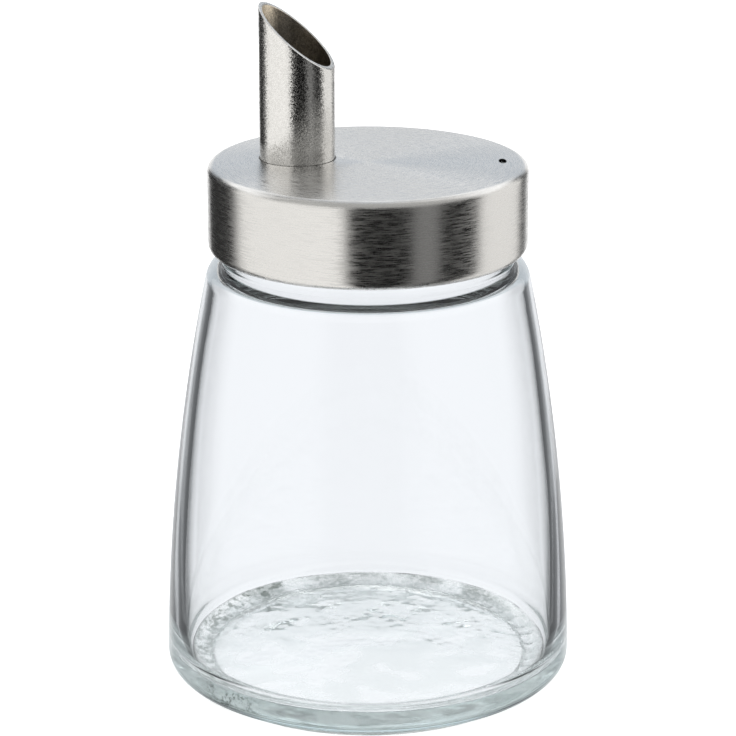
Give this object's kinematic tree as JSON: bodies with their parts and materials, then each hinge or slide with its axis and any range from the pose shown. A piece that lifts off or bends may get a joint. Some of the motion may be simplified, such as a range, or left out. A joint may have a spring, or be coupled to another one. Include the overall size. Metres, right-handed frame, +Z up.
{
  "type": "milk pourer",
  "caption": "Clear glass jar, wider towards its base, with a brushed steel cap that carries a slant-cut pouring tube and a small air hole.",
  "frame": {"origin": "on the table, at the middle of the jar's base", "axes": "+Z up along the jar's axis; the pouring tube stands towards -X and its slanted mouth faces +X"},
  "size_m": [0.08, 0.0798, 0.1342],
  "materials": {
    "clear_glass": "clear, smooth, with a knurled standing ring",
    "brushed_steel": "brushed in rings round the cap's axis",
    "satin_steel": "satin, fine blasted grain, polished mouth edge",
    "insert_plastic": "plain translucent white"
  },
  "bodies": {
    "root": {"jar": "clear_glass", "cap": "brushed_steel", "pouring_tube": "satin_steel", "screw_insert": "insert_plastic"}
  },
  "joints": []
}
